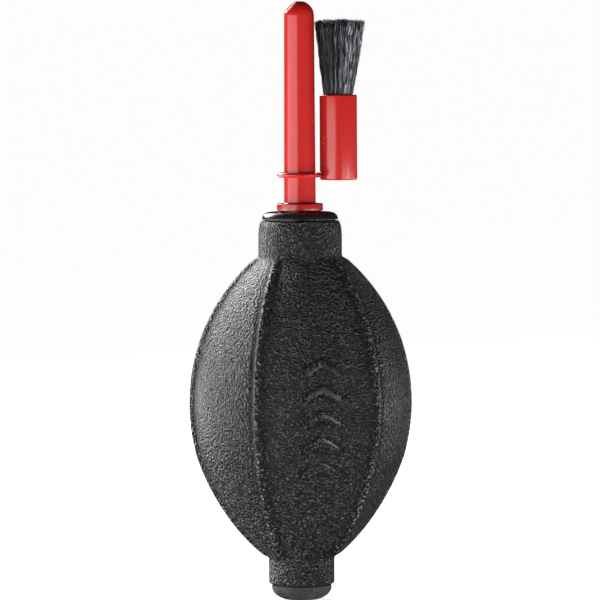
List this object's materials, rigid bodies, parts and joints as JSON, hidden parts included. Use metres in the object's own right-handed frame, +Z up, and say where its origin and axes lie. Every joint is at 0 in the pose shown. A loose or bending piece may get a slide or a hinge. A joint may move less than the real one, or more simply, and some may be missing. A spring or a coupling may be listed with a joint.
{
  "type": "dust blower bulb",
  "caption": "Ribbed rubber squeeze bulb with a tapered swivelling nozzle, a base inlet valve, and a bristle brush on a ring that slides along the nozzle.",
  "frame": {"origin": "centre of the flat foot under the base plug, on the bulb's axis", "axes": "+Z runs up the bulb's axis to the nozzle's tip, the widest front panel faces -Y, and the brush hangs on the +X side of the nozzle"},
  "size_m": [0.0562, 0.0532, 0.1499],
  "materials": {
    "bulb_rubber": "pebbled black rubber with a leather-like grain",
    "gloss_black_plastic": "polished black",
    "red_plastic": "glossy moulded red",
    "black_bristle": "fine black bristles",
    "clear_resin": "amber adhesive resin",
    "satin_black_plastic": "smooth satin black",
    "flap_rubber": "smooth black rubber",
    "natural_plastic": "undyed moulded plastic"
  },
  "bodies": {
    "bulb": {"bulb": "bulb_rubber", "neck_bush": "gloss_black_plastic"},
    "nozzle": {"nozzle": "red_plastic"},
    "brush": {"brush_holder": "red_plastic", "bristle_tuft": "black_bristle", "bristle_resin": "clear_resin"},
    "inlet_valve": {"valve_body": "satin_black_plastic", "valve_cage": "natural_plastic"},
    "flap": {"valve_flap": "flap_rubber"}
  },
  "joints": [
    {"name": "nozzle_turn", "type": "hinge", "parent": "bulb", "child": "nozzle", "pos_m": [0, 0, 0.0973], "axis": [0, 0, 1], "continuous": true},
    {"name": "brush_slide", "type": "slide", "parent": "nozzle", "child": "brush", "axis": [0, 0, 1], "range_m": [-0.005, 0.05]},
    {"name": "base_press", "type": "slide", "parent": "bulb", "child": "inlet_valve", "axis": [0, 0, 1], "range_m": [0, 0.012], "stiffness_N_per_m": 1200, "deforming": ["bulb"]},
    {"name": "flap_lift", "type": "slide", "parent": "inlet_valve", "child": "flap", "axis": [0, 0, 1], "range_m": [0, 0.0008]}
  ]
}
